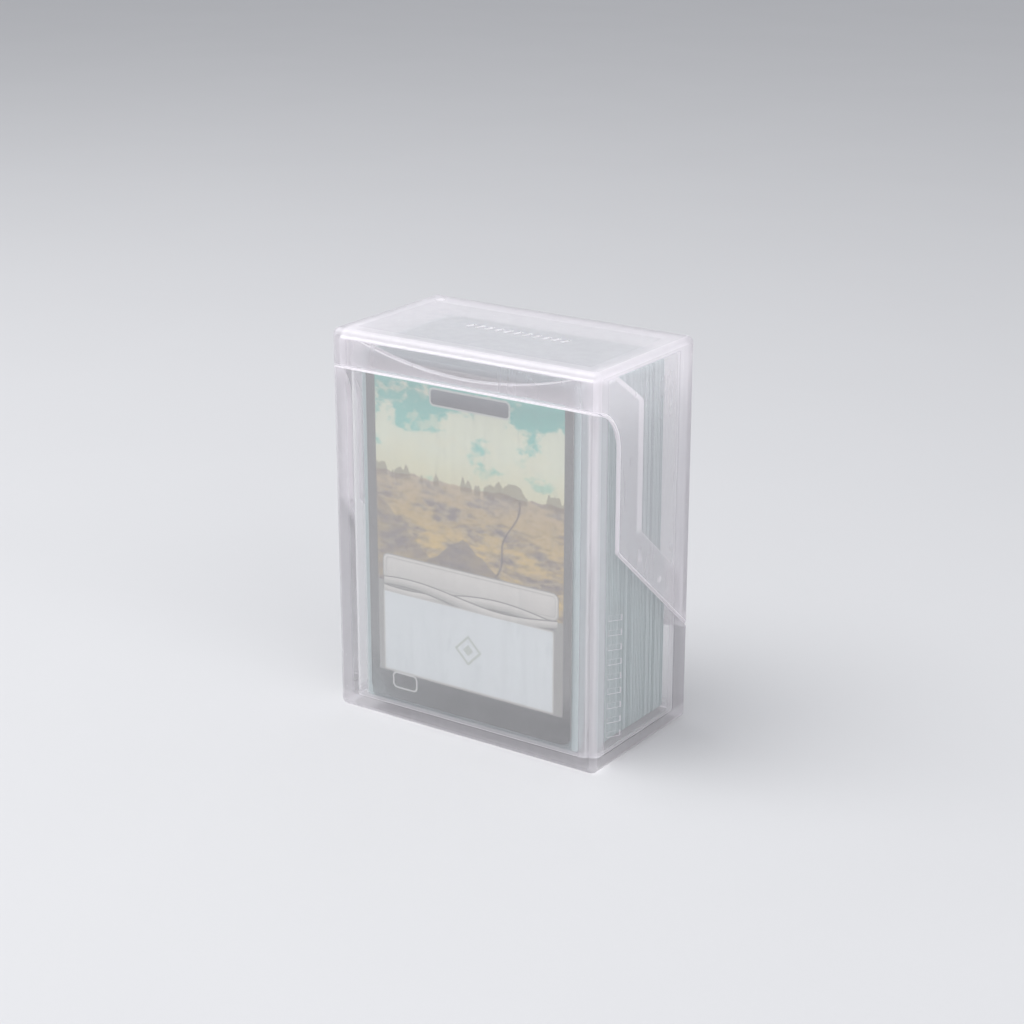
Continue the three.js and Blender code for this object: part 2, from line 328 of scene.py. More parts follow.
def rounded_line(corners):
    """Points along straight stretches between corners (depth, height, radius), rounded where
    there is a radius."""
    points = []
    for i, (depth, height, radius) in enumerate(corners):
        corner = Vector((depth, height))
        if not radius:
            points.append(corner)
            continue
        back = (Vector(corners[i - 1][:2]) - corner).normalized()
        on = (Vector(corners[i + 1][:2]) - corner).normalized()
        half = back.angle(on) / 2
        centre = corner + (back + on).normalized() * radius / math.sin(half)
        first = corner + back * radius / math.tan(half) - centre
        last = corner + on * radius / math.tan(half) - centre
        angle = math.atan2(first.y, first.x)
        turn = math.atan2(last.y, last.x) - angle
        turn = (turn + math.pi) % (2 * math.pi) - math.pi
        for step in range(ARC_STEPS + 1):
            at = angle + turn * step / ARC_STEPS
            points.append(centre + radius * Vector((math.cos(at), math.sin(at))))
    return points


def edge_height_at(edge, depth):
    """How high the lid's edge is at a depth on its slope."""
    slope = (edge.back_height - edge.knee_height) / (BOX_DEPTH - edge.upright_depth)
    return edge.knee_height + slope * (depth - edge.upright_depth)


def lid_edge_line(edge):
    """The lid's lower edge from the front to the back."""
    lip = BOX_HEIGHT - edge.lip
    last = BOX_DEPTH + BEYOND
    return rounded_line([
        (-BEYOND, lip, 0),
        (edge.upright_depth, lip, edge.sweep_radius),
        (edge.upright_depth, edge.knee_height, edge.knee_radius),
        (last, edge_height_at(edge, last), 0),
    ])


def tongue_line(edge):
    """The tongue's upper edge, which keeps the lap inside the lid's edge."""
    step = edge.upright_depth + edge.lap
    last = BOX_DEPTH + BEYOND
    return rounded_line([
        (-BEYOND, CROWN_HEIGHT, 0),
        (edge.upright_depth, CROWN_HEIGHT, edge.crown_radius),
        (step, CROWN_HEIGHT - edge.crown_drop, edge.shoulder_radius),
        (step, edge_height_at(edge, step) + edge.lap, edge.knee_radius),
        (last, edge_height_at(edge, last) + edge.lap, 0),
    ])


def finished_as(tool, finish):
    """The tool with every face in one of a moulding's finishes, which the faces it cuts then take."""
    for face in tool.data.polygons:
        face.material_index = finish
    return tool


def rounds_finished(piece, finish):
    """The block with its rounded edges in one of a moulding's finishes."""
    for face in piece.data.polygons:
        if max(abs(part) for part in face.normal) < FLAT:
            face.material_index = finish
    return piece


def outlines_finished(marks, sunk_along):
    """The marks' sides in the edges' finish, but not their ends along the axis that they sink in."""
    for face in marks.data.polygons:
        if not face.normal[sunk_along]:
            face.material_index = EDGES
    return marks


def below(line):
    """Everything below a line, as a block wider than the box."""
    floor = [Vector((line[-1].x, -BEYOND)), Vector((line[0].x, -BEYOND))]
    return finished_as(prism("below", [line + floor], across_box, -BOX_WIDTH, BOX_WIDTH), EDGES)


def with_modifiers_applied(piece):
    """The piece with what its modifiers do put into its mesh."""
    made = bpy.data.meshes.new_from_object(piece.evaluated_get(bpy.context.evaluated_depsgraph_get()))
    before = piece.data
    piece.modifiers.clear()
    piece.data = made
    made.name = piece.name
    bpy.data.meshes.remove(before)
    return piece


def combined(piece, tool, operation):
    """The piece cut by the tool, joined to it or kept inside it. The tool is used up."""
    modifier = piece.modifiers.new("combine", "BOOLEAN")
    modifier.operation = operation
    modifier.solver = "EXACT"
    modifier.material_mode = "INDEX"
    modifier.object = tool
    with_modifiers_applied(piece)
    bpy.data.objects.remove(tool)
    return piece


def edges_rounded(piece, walls):
    """Rounds the cut edges a little, and the rounds take the edges' finish."""
    bm = bmesh.new()
    bm.from_mesh(piece.data)
    bmesh.ops.remove_doubles(bm, verts=bm.verts, dist=SAME_PLACE)
    bmesh.ops.dissolve_limit(
        bm, angle_limit=SAME_PLANE, verts=bm.verts, edges=bm.edges, delimit={"NORMAL"}
    )
    bm.to_mesh(piece.data)
    bm.clear()
    bevel = piece.modifiers.new("edge break", "BEVEL")
    bevel.width = walls.edge_break
    bevel.segments = BREAK_SEGMENTS
    bevel.limit_method = "ANGLE"
    bevel.angle_limit = BREAK_ANGLE
    bevel.use_clamp_overlap = False
    bevel.loop_slide = False
    bevel.material = EDGES
    with_modifiers_applied(piece)
    bm.from_mesh(piece.data)
    bmesh.ops.triangulate(bm, faces=[face for face in bm.faces if len(face.verts) > 4])
    bm.to_mesh(piece.data)
    bm.free()
    return piece


def evenly_shaded(piece):
    """The moulding with smooth rounds, flat walls and crisp corners."""
    piece.data.shade_smooth()
    piece.data.set_sharp_from_angle(angle=CREASE)
    weighted = piece.modifiers.new("even shading", "WEIGHTED_NORMAL")
    weighted.keep_sharp = True
    weighted.weight = 60
    return with_modifiers_applied(piece)


def slanted_bars(marks):
    """The outlines of a row of slanted bars along u, centred on the origin."""
    outlines = []
    for i in range(marks["count"]):
        middle = (i - (marks["count"] - 1) / 2) * marks["pitch"]
        outline = []
        for end, side in ((-1, -1), (-1, 1), (1, 1), (1, -1)):
            along = middle + (end * marks["slant"] + side * marks["bar"]) / 2
            outline.append((along, end * marks["across"] / 2))
        outlines.append(outline)
    return outlines


def whole_wall(walls):
    """The thickness of a side wall: the lid's skin, the slide gap and the tongue."""
    return walls.lid_skin + walls.slide_gap + walls.tongue_wall


def scoop(edge, walls):
    """What the finger scoop takes out of the front wall's upper edge."""
    half, depth = edge.scoop_half_width, edge.scoop_depth
    radius = (half**2 + depth**2) / (2 * depth)
    middle = CROWN_HEIGHT - depth + radius
    spread = math.asin(half / radius)
    outline = [(half, CROWN_HEIGHT + BEYOND), (-half, CROWN_HEIGHT + BEYOND)]
    for step in range(SCOOP_STEPS + 1):
        angle = spread * (2 * step / SCOOP_STEPS - 1)
        outline.append((radius * math.sin(angle), middle - radius * math.cos(angle)))
    start, end = FRONT_FACE - BEYOND, FRONT_FACE + whole_wall(walls) + BEYOND / 4
    return prism("scoop", [outline], lambda x, z, y: Vector((x, y, z)), start, end)


def turned(name, rings, place):
    """Rings of (radius, height) joined into a round piece; place turns u, v and height into a point."""
    bm = bmesh.new()
    made = []
    for radius, height in rings:
        ring = []
        for step in range(NUB_SIDES):
            angle = 2 * math.pi * step / NUB_SIDES
            ring.append(bm.verts.new(place(radius * math.cos(angle), radius * math.sin(angle), height)))
        made.append(ring)
    for lower, upper in zip(made, made[1:]):
        for i in range(NUB_SIDES):
            bm.faces.new((lower[i - 1], lower[i], upper[i], upper[i - 1]))
    bm.faces.new(made[0])
    bm.faces.new(made[-1])
    return linked(name, bm)


def dome(radius, rise):
    """Rings of (radius, height) from the rim of a low dome to its small flat top."""
    rings = []
    for step in range(DOME_STEPS):
        angle = math.pi / 2 * step / DOME_STEPS
        rings.append((radius * math.cos(angle), rise * math.sin(angle)))
    return rings


def grip_nub(edge, walls, side, depth):
    """A low domed nub on a tongue side; side is 1 on the right and -1 on the left."""
    face = BOX_WIDTH / 2 - walls.lid_skin - walls.slide_gap
    middle = (FRONT_FACE + depth, edge_height_at(edge, depth) + edge.nub_rise)
    rings = [(edge.nub_radius, -walls.tongue_wall / 2)] + dome(edge.nub_radius, edge.nub_height)
    nub = turned("nub", rings, lambda u, v, h: Vector((side * (face + h), middle[0] + u, middle[1] + v)))
    return finished_as(nub, EDGES)


def gate_mark(edge):
    """The round dish in the lid's top, near its back left corner."""
    middle = (GATE_PLACE["x"], FRONT_FACE + GATE_PLACE["from_front"])
    rings = [(edge.gate_radius, -edge.gate_sink)] + dome(edge.gate_radius, edge.gate_sink)
    dish = turned("dish", rings, lambda u, v, h: Vector((middle[0] + u, middle[1] + v, BOX_HEIGHT - h)))
    return finished_as(dish, EDGES)


def moulded_body(walls, edge, finishes):
    """The box body: a full-thickness lower part, and a thin tongue that reaches up inside the lid."""
    inset = walls.lid_skin + walls.slide_gap
    wall = whole_wall(walls)
    seat = [point - Vector((walls.seat_gap, walls.seat_gap)) for point in lid_edge_line(edge)]
    body = block("deck_box_body", BOX_WIDTH, BOX_DEPTH, 0, BOX_HEIGHT, walls.outer_radius, finishes)
    combined(rounds_finished(body, ROUNDS), below(seat), "INTERSECT")
    tongue = block(
        "tongue",
        BOX_WIDTH - 2 * inset,
        BOX_DEPTH - 2 * inset,
        walls.floor / 4,
        BOX_HEIGHT + BEYOND,
        walls.tongue_radius,
        finishes,
    )
    combined(finished_as(tongue, TONGUE), below(tongue_line(edge)), "INTERSECT")
    combined(body, tongue, "UNION")
    space = rounded_rectangle(BOX_WIDTH - 2 * wall, BOX_DEPTH - 2 * wall, walls.cavity_radius)
    combined(body, prism("space", [space], upright, walls.floor, BOX_HEIGHT + 2 * BEYOND), "DIFFERENCE")
    combined(body, scoop(edge, walls), "DIFFERENCE")
    edges_rounded(body, walls)
    row = SIDE_MARK_ROW["foot"] + (SIDE_MARKS["count"] - 1) / 2 * SIDE_MARKS["pitch"]
    marks = prism(
        "marks",
        slanted_bars(SIDE_MARKS),
        lambda u, v, w: Vector((w, FRONT_FACE + SIDE_MARK_ROW["from_front"] - v, row + u)),
        BOX_WIDTH / 2 - edge.mark_sink,
        BOX_WIDTH / 2 + edge.mark_sink,
    )
    combined(body, outlines_finished(marks, 0), "DIFFERENCE")
    for side in (-1, 1):
        for depth in NUB_DEPTHS:
            combined(body, grip_nub(edge, walls, side, depth), "UNION")
    return evenly_shaded(body)


def moulded_lid(walls, edge, finishes):
    """The lift-off lid: a shell whose lower edge steps down to the back."""
    lid = block("deck_box_lid", BOX_WIDTH, BOX_DEPTH, 0, BOX_HEIGHT, walls.outer_radius, finishes)
    combined(rounds_finished(lid, ROUNDS), below(lid_edge_line(edge)), "DIFFERENCE")
    inside = block(
        "inside",
        BOX_WIDTH - 2 * walls.lid_skin,
        BOX_DEPTH - 2 * walls.lid_skin,
        -BEYOND,
        BOX_HEIGHT - walls.lid_top,
        walls.lid_inner_radius,
    )
    combined(lid, rounds_finished(inside, EDGES), "DIFFERENCE")
    edges_rounded(lid, walls)
    marks = prism(
        "marks",
        slanted_bars(TOP_MARKS),
        lambda u, v, w: Vector((TOP_MARK_ROW["x"] + u, FRONT_FACE + TOP_MARK_ROW["from_front"] + v, w)),
        BOX_HEIGHT - edge.mark_sink,
        BOX_HEIGHT + edge.mark_sink,
    )
    combined(lid, outlines_finished(marks, 2), "DIFFERENCE")
    combined(lid, gate_mark(edge), "DIFFERENCE")
    return evenly_shaded(lid)


def printed_card(sizes):
    """The front card: a thin sheet with round corners."""
    width, height = card_high.x - card_low.x, card_high.z - card_low.z
    middle = (card_low.z + card_high.z) / 2
    outline = rounded_rectangle(width, height, sizes.card_corner_radius)
    card = prism(
        "shown_card", [outline], lambda u, v, w: Vector((u, w, middle + v)), card_low.y, card_high.y
    )
    for face in card.data.polygons:
        face.material_index = 0 if abs(face.normal.y) > 0.5 else 1
    return card


def pouch(name, low, high, groove_floor, sizes, lean=(0.0, 0.0, 0.0)):
    """A sleeve: thin at its welded sides and foot, full over the card, and open at the top down to
    groove_floor. lean is how far the left side, the right side and the mouth stand out of line."""
    width, height, full = high.x - low.x, high.z - low.z, high.y - low.y
    thin = 2 * sizes.film
    from_side = (0, sizes.weld / 2, sizes.weld, 2 * sizes.weld)
    inner = width / 2 - from_side[-1]
    offsets = [(-1, d) for d in from_side] + [(0, inner * t) for t in (-0.5, 0, 0.5)]
    offsets += [(1, d) for d in reversed(from_side)]
    first, last = 2, len(offsets) - 3  # the columns where the mouth starts and ends
    radius = sizes.corner_radius
    rows = [0, radius * 0.15, radius * 0.5, sizes.weld, sizes.weld * 1.8]
    rows += [height * 0.5, height - radius, height - radius * 0.5, height - radius * 0.15, height]

    def half_width(z):
        from_end = min(z, height - z)
        if from_end >= radius:
            return width / 2
        return width / 2 - radius + math.sqrt(radius**2 - (radius - from_end) ** 2)

    def thickness(x, z):
        edge = min(width / 2 - abs(x), z)
        rise = min(max((edge - sizes.weld) / sizes.weld, 0), 1)
        return thin + (full - thin) * rise

    def place(offset, z):
        side, distance = offset
        x = side * (half_width(z) - distance) if side else distance
        bend = max(0, 1 - (width / 2 - abs(x)) / (3 * sizes.weld))
        mouth = max(0, z / height - 0.9) * 10 * (1 - (2 * x / width) ** 2)
        shift = (lean[0] if x < 0 else lean[1]) * bend + lean[2] * mouth
        return x, shift, thickness(x, z)

    bm = bmesh.new()
    middle = (low.y + high.y) / 2
    sheets = []
    for face in (-1, 1):
        grid = []
        for z in rows:
            line = []
            for offset in offsets:
                x, shift, thick = place(offset, z)
                line.append(bm.verts.new((x, middle + shift + face * thick / 2, low.z + z)))
            grid.append(line)
        sheets.append(grid)
    front, back = sheets
    for grid in sheets:
        for lower, upper in zip(grid, grid[1:]):
            for i in range(len(offsets) - 1):
                bm.faces.new((lower[i], lower[i + 1], upper[i + 1], upper[i]))
    for r in range(len(rows) - 1):
        for end in (0, -1):
            bm.faces.new((front[r][end], front[r + 1][end], back[r + 1][end], back[r][end]))
    for i in range(len(offsets) - 1):
        bm.faces.new((front[0][i], front[0][i + 1], back[0][i + 1], back[0][i]))

    # The mouth: a slot between the two films, down to the card or to the foot.
    slot = []
    for i in range(first, last + 1):
        x, shift, thick = place(offsets[i], height)
        gap = max(thick / 2 - sizes.film, 0.15 * sizes.film)
        column = []
        for z, face in ((height, -1), (groove_floor, -1), (groove_floor, 1), (height, 1)):
            lowered = shift if z == height else shift - lean[2] * (1 - (2 * x / width) ** 2)
            column.append(bm.verts.new((x, middle + lowered + face * gap, low.z + z)))
        slot.append(column)
    for near, far in zip(slot, slot[1:]):
        for j in range(3):
            face = bm.faces.new((near[j], near[j + 1], far[j + 1], far[j]))
            face.material_index = 1 if j == 1 else 0
    bm.faces.new(slot[0])
    bm.faces.new(slot[-1])
    top_front, top_back = front[-1], back[-1]
    for i in range(first, last):
        near, far = slot[i - first], slot[i - first + 1]
        bm.faces.new((top_front[i], top_front[i + 1], far[0], near[0]))
        bm.faces.new((near[3], far[3], top_back[i + 1], top_back[i]))
    near, far = slot[0], slot[-1]
    before, after = first - 1, last + 1
    bm.faces.new(
        (top_front[before], top_front[first], near[0], near[3], top_back[first], top_back[before])
    )
    bm.faces.new(
        (top_front[last], top_front[after], top_back[after], top_back[last], far[3], far[0])
    )
    for i in [*range(first - 1), *range(last + 1, len(offsets) - 1)]:
        bm.faces.new((top_front[i], top_front[i + 1], top_back[i + 1], top_back[i]))
    piece = linked(name, bm)
    piece.data.shade_smooth()
    piece.data.set_sharp_from_angle(angle=SLEEVE_CREASE)
    return piece


# Materials


class Wire:
    """A value that runs through a material, on which plain arithmetic works."""

    def __init__(self, graph, socket):
        self.graph = graph
        self.socket = socket

    def maths(self, operation, *others):
        """This value and the others put through one Math node."""
        values = dict(enumerate((self, *others)))
        return self.graph.add("ShaderNodeMath", {"operation": operation}, values)

    def __add__(self, other):
        return self.maths("ADD", other)

    __radd__ = __add__

    def __mul__(self, other):
        return self.maths("MULTIPLY", other)

    __rmul__ = __mul__

    def __sub__(self, other):
        return self.maths("SUBTRACT", other)

    def __rsub__(self, other):
        return self.graph.add("ShaderNodeMath", {"operation": "SUBTRACT"}, {0: other, 1: self})

    def __truediv__(self, other):
        return self.maths("DIVIDE", other)

    def __pow__(self, power):
        return self.maths("POWER", power)

    def __abs__(self):
        return self.maths("ABSOLUTE")

    def larger(self, other):
        return self.maths("MAXIMUM", other)

    def smaller(self, other):
        return self.maths("MINIMUM", other)

    def sine(self):
        return self.maths("SINE")

    def ramp(self, low, high):
        """0 below low and 1 above high, with a smooth rise between."""
        return self.graph.add(
            "ShaderNodeMapRange",
            {"interpolation_type": "SMOOTHSTEP"},
            {"Value": self, "From Min": low, "From Max": high},
        )


class Graph:
    """The nodes of one material."""

    def __init__(self, name):
        self.material = bpy.data.materials.new(name)
        self.material.use_nodes = True
        self.tree = self.material.node_tree
        self.tree.nodes.clear()
        self.place = self.add("ShaderNodeTexCoord", output="Object")

    def add(self, kind, settings=None, inputs=None, output=0):
        """A node's output, as a wire. Its settings are set first, then its sockets' values and links."""
        node = self.tree.nodes.new(kind)
        for name, value in (settings or {}).items():
            setattr(node, name, value)
        for name, value in (inputs or {}).items():
            if isinstance(value, Wire):
                self.tree.links.new(value.socket, node.inputs[name])
            else:
                node.inputs[name].default_value = value
        return Wire(self, node.outputs[output])

    def axes(self):
        """x, y and z in millimetres."""
        split = self.tree.nodes.new("ShaderNodeSeparateXYZ")
        self.tree.links.new(self.place.socket, split.inputs[0])
        return [Wire(self, output) / MM for output in split.outputs]

    def point(self, x, y, z):
        """A place from its x, y and z in millimetres."""
        return self.add("ShaderNodeCombineXYZ", inputs={0: x, 1: y, 2: z})

    def noise(self, size, detail=2.0, place=None, roughness=0.5):
        """Soft noise from 0 to 1, whose lumps are size across in the unit of the place."""
        return self.add(
            "ShaderNodeTexNoise",
            inputs={
                "Vector": place or self.place,
                "Scale": 1 / size,
                "Detail": detail,
                "Roughness": roughness,
            },
        )

    def stretched(self, factors):
        """The place with each axis squeezed by its factor."""
        return self.add(
            "ShaderNodeVectorMath", {"operation": "MULTIPLY"}, {0: self.place, 1: factors}
        )

    def blend(self, share, first, second):
        """Two colours blended: all first at 0 and all second at 1."""
        first, second = (c if isinstance(c, Wire) else (*c, 1) for c in (first, second))
        return self.add(
            "ShaderNodeMix", {"data_type": "RGBA"}, {0: share, 6: first, 7: second}, output=2
        )

    def bump(self, height, distance):
        """The surface's direction, tilted by height, which is distance metres deep."""
        return self.add("ShaderNodeBump", inputs={"Height": height, "Distance": distance})

    def plastic(self, **inputs):
        """A Principled shader, with its sockets' names given with _ for a space."""
        named = {name.replace("_", " "): value for name, value in inputs.items()}
        return self.add("ShaderNodeBsdfPrincipled", inputs=named)

    def mixed(self, share, first, second):
        """Two shaders mixed: all first at 0 and all second at 1."""
        return self.add("ShaderNodeMixShader", inputs={0: share, 1: first, 2: second})

    def done(self, shader):
        """The material, with this shader on its surface."""
        node = self.tree.nodes.new("ShaderNodeOutputMaterial")
        self.tree.links.new(shader.socket, node.inputs["Surface"])
        return self.material


def scaled(colour, factor):
    """A colour with each part times a factor."""
    return [part * factor for part in colour]


def thick_places(graph, walls):
    """1 where two of the moulding's outer sides meet, so that there is more plastic to look through.
    The base and the top count for more than the upright sides."""
    x, y, z = (axis * MM for axis in graph.axes())
    inner_side = BOX_WIDTH / 2 - whole_wall(walls)
    inner_end = BOX_DEPTH / 2 - whole_wall(walls)
    near_side = (abs(x) - inner_side).ramp(-1.6 * MM, 0.3 * MM)
    near_front = (-inner_end - y).ramp(-0.8 * MM, 0.3 * MM)
    near_back = (y - inner_end).ramp(-4.4 * MM, -2.4 * MM)
    near_base = (walls.floor - z).ramp(-1.7 * MM, -0.6 * MM)
    near_top = (z - (BOX_HEIGHT - walls.lid_top)).ramp(-0.5 * MM, 0.3 * MM)
    return (near_side + near_front + near_back + 2 * near_base + 1.4 * near_top - 1).ramp(0, 1)


def tongue_rim(graph, edge):
    """1 along the upper edge of the tongue's sides, where the plastic leads light to the rim; there the
    finish is milkier and gives off painted glow.
    """
    x, y, z = graph.axes()
    depth = y - FRONT_FACE / MM
    start, top = edge.upright_depth / MM, CROWN_HEIGHT / MM
    end = start + edge.lap / MM
    fall = math.atan2(edge.crown_drop, edge.lap)
    from_slope = (start - depth) * math.sin(fall) + (top - z) * math.cos(fall)
    foot = (edge_height_at(edge, edge.upright_depth + edge.lap) + edge.lap) / MM
    rim = (0.9, 1.7)  # how far below the edge it starts to fade, and where it ends
    on_end = (1 - (end - depth).ramp(2.0, 3.2)) * (z - foot).ramp(-1.0, 1.5)
    on_slope = 1 - from_slope.ramp(*rim)
    on_crown = 1 - (top - z).ramp(*rim)
    on_side = (abs(x) - BOX_WIDTH / 2 / MM).ramp(-4.5, -3.0)
    return on_end.larger(on_slope).larger(on_crown) * on_side


def frosted_plastic(name, looks, walls, milkiness, light=0.0, rim_of=None):
    """Satin translucent moulding: clear plastic under a milky veil, with fine scuffs and specks.
    light is how much painted glow it gives off, standing in for what the plastic leads to it, over the
    whole finish or only along the tongue's rim."""
    graph = Graph(name)
    rim = tongue_rim(graph, rim_of) if rim_of else None
    clouds = graph.noise(18 * MM, detail=3)
    scuff_lines = graph.noise(0.5 * MM, detail=2, place=graph.stretched((1, 1, 0.04)))
    scuffs = scuff_lines.ramp(0.70, 0.78) * graph.noise(9 * MM).ramp(0.5, 0.7)
    specks = graph.noise(0.7 * MM, detail=0).ramp(0.84, 0.88)
    streaks = graph.noise(2.4 * MM, detail=2, place=graph.stretched((1, 1, 0.03)))
    veil = milkiness + looks.cloudiness * (clouds - 0.5) + 0.06 * scuffs + 0.10 * specks
    veil = veil + looks.streaks * (streaks.ramp(0.3, 0.7) - 0.5)
    veil = veil + max(looks.rim_veil - milkiness, 0) * thick_places(graph, walls)
    height = graph.axes()[2] * MM
    veil = veil + looks.base_veil * (walls.floor - height).ramp(-2.2 * MM, -0.6 * MM)
    if rim:
        veil = veil + (looks.edge_veil - milkiness) * rim
    satin = graph.bump(graph.noise(0.28 * MM, detail=1), 0.010 * MM)
    white = (1, 1, 1, 1)
    gloss = graph.add(
        "ShaderNodeBsdfAnisotropic", inputs={"Color": white, "Roughness": looks.gloss, "Normal": satin}
    )
    seen_through = graph.add(
        "ShaderNodeBsdfRefraction",
        inputs={"Color": white, "Roughness": looks.blur, "IOR": PLASTIC_INDEX},
    )
    mirrored = graph.add("ShaderNodeFresnel", inputs={"IOR": PLASTIC_INDEX})
    clear = graph.mixed(mirrored, seen_through, gloss)
    milk = graph.plastic(
        Base_Color=graph.blend(clouds, looks.milk, scaled(looks.milk, 0.97)),
        Roughness=0.36 + 0.10 * scuffs,
        # Painted glow: emission standing in for the light that the plastic leads to the edges.
        Emission_Color=graph.blend(rim, (0, 0, 0), looks.milk) if rim else (*looks.milk, 1),
        Emission_Strength=light,
        Normal=satin,
    )
    glow = graph.add("ShaderNodeBsdfTranslucent", inputs={"Color": (*looks.milk, 1), "Normal": satin})
    moulding = graph.mixed(veil, clear, graph.mixed(0.35, milk, glow))
    passed = (looks.passes, looks.passes, looks.passes, 1)
    lit_through = graph.add("ShaderNodeBsdfTransparent", inputs={"Color": passed})
    lamp = graph.add("ShaderNodeLightPath", output="Is Shadow Ray")
    return graph.done(graph.mixed(lamp, moulding, lit_through))


def plate_distance(x, z, left, right, bottom, top, radius):
    """How far a point is outside a plate with round corners, in millimetres."""
    over_x = abs(x - (left + right) / 2) - ((right - left) / 2 - radius)
    over_z = abs(z - (bottom + top) / 2) - ((top - bottom) / 2 - radius)
    outside = (over_x.larger(0) ** 2 + over_z.larger(0) ** 2) ** 0.5
    return outside + over_x.larger(over_z).smaller(0) - radius


def inside(distance, soft=0.12):
    """1 inside a distance of 0 and 0 outside, over a soft edge in millimetres."""
    return 1 - distance.ramp(-soft, soft)


def plate_laid(graph, colour, distance, edge, edge_colour, fill, within=1):
    """The colour with a plate laid on it that has an edge of another colour; edge is its width."""
    colour = graph.blend(inside(distance - edge) * within, colour, edge_colour)
    return graph.blend(inside(distance) * within, colour, fill)


def rise_line(x, rough, middle, top, slope):
    """The outline of a low rise that falls away from its top on both sides."""
    return top + 3 * (rough - 0.5) - slope * abs(x - middle)


def landscape(graph, x, z, looks):
    """A cloudy sky over an open plain, with bushes along the horizon and a low rise in front. Its
    heights and widths are in millimetres on the card."""
    billows = graph.noise(11, detail=6, place=graph.point(x * 0.75, 0, z * 1.1), roughness=0.6)
    high = z.ramp(72, 95)
    sky = graph.blend(high, scaled(looks.sky, 1.15), looks.sky)
    sky = graph.blend((billows + 0.10 - 0.16 * high).ramp(0.45, 0.53), sky, looks.cloud)
    lit = graph.noise(6, detail=5, place=graph.point(x * 0.8, 9, z * 1.2), roughness=0.6)
    sky = graph.blend((lit - 0.10 * high).ramp(0.50, 0.60) * 0.6, sky, (0.98, 0.95, 0.74))
    sky = graph.blend((1 - z.ramp(68, 79)) * 0.55, sky, (0.90, 0.82, 0.52))

    patches = graph.noise(10, detail=5, place=graph.point(x * 0.7, 0, z * 2.0), roughness=0.6)
    strokes = graph.noise(2.0, detail=4, place=graph.point(x * 0.7, 0, z * 1.4), roughness=0.6)
    ground = graph.blend(patches.ramp(0.40, 0.56), looks.shade, looks.plain)
    ground = graph.blend(strokes.ramp(0.42, 0.62) * 0.55, ground, (0.80, 0.62, 0.36))
    warm = patches.ramp(0.50, 0.60) * (1 - z.ramp(50, 60))
    ground = graph.blend(warm * 0.8, ground, (0.92, 0.66, 0.22))
    ground = graph.blend(z.ramp(58, 70) * 0.55, ground, (0.66, 0.55, 0.45))
    ground = graph.blend((0.44 - strokes).ramp(0, 0.06) * 0.25, ground, (0.30, 0.23, 0.18))
    track = 8 + 0.36 * (z - 45) + 0.9 * ((z - 45) * 0.42).sine()
    ground = graph.blend(inside(abs(x - track) - 0.35) * 0.7, ground, (0.20, 0.17, 0.18))

    ridge = graph.noise(7, detail=4, place=graph.point(x, 0, 0))
    horizon = 68.5 + 4 * (ridge - 0.5)
    picture = graph.blend(inside(z - horizon), sky, ground)
    clumps = graph.noise(4.6, detail=3, place=graph.point(x, 21, 0))
    bushes = 3.4 * clumps.ramp(0.42, 0.66)
    in_bush = inside(z - horizon - bushes) * (z - horizon).ramp(-2.5, -0.5) * bushes.ramp(0.3, 0.8)
    picture = graph.blend(in_bush * 0.65, picture, (0.30, 0.24, 0.17))
    rough = graph.noise(2.4, detail=4, place=graph.point(x, 4, 0))
    rise = rise_line(x, rough, middle=-1.5, top=54.5, slope=0.75)
    picture = graph.blend(inside(z - rise) * 0.75, picture, looks.shade)
    left_rise = rise_line(x, rough, middle=-29, top=62, slope=0.9)
    return graph.blend(inside(z - left_rise) * 0.5, picture, looks.shade)


